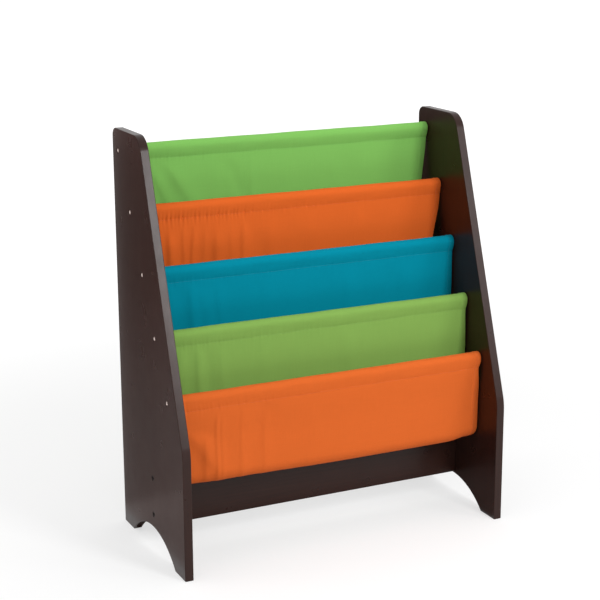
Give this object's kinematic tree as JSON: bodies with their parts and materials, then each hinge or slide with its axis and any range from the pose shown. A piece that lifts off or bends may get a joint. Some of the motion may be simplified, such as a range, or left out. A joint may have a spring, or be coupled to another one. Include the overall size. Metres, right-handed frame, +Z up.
{
  "type": "sling bookshelf",
  "caption": "Free-standing sling bookshelf for children: sloped side panels, dowel rods and a bottom rail carry stepped cloth pockets that hold picture books face out.",
  "frame": {"origin": "on the floor, at the middle of the shelf's width and depth", "axes": "+X across the width, +Y from front to back, +Z up"},
  "size_m": [0.61, 0.292, 0.711],
  "materials": {
    "espresso_wood": "satin lacquer",
    "dowel_wood": "sanded, bare",
    "screw_steel": "blackened",
    "cloth_bright_green": "woven canvas",
    "cloth_orange": "woven canvas",
    "cloth_teal": "woven canvas",
    "cloth_leaf_green": "woven canvas",
    "cloth_deep_orange": "woven canvas"
  },
  "bodies": {
    "root": {"side_panel_left": "espresso_wood", "side_panel_right": "espresso_wood", "bottom_rail": "espresso_wood", "dowel_rod_1": "dowel_wood", "dowel_rod_2": "dowel_wood", "dowel_rod_3": "dowel_wood", "dowel_rod_4": "dowel_wood", "dowel_rod_5": "dowel_wood", "sling_band_1": "cloth_bright_green", "sling_band_2": "cloth_orange", "sling_band_3": "cloth_teal", "sling_band_4": "cloth_leaf_green", "sling_band_5": "cloth_deep_orange", "rod_screw_left_1": "screw_steel", "rod_screw_left_2": "screw_steel", "rod_screw_left_3": "screw_steel", "rod_screw_left_4": "screw_steel", "rod_screw_left_5": "screw_steel", "rail_screw_left_upper": "screw_steel", "rail_screw_left_lower": "screw_steel", "rod_screw_right_1": "screw_steel", "rod_screw_right_2": "screw_steel", "rod_screw_right_3": "screw_steel", "rod_screw_right_4": "screw_steel", "rod_screw_right_5": "screw_steel", "rail_screw_right_upper": "screw_steel", "rail_screw_right_lower": "screw_steel"}
  },
  "joints": []
}
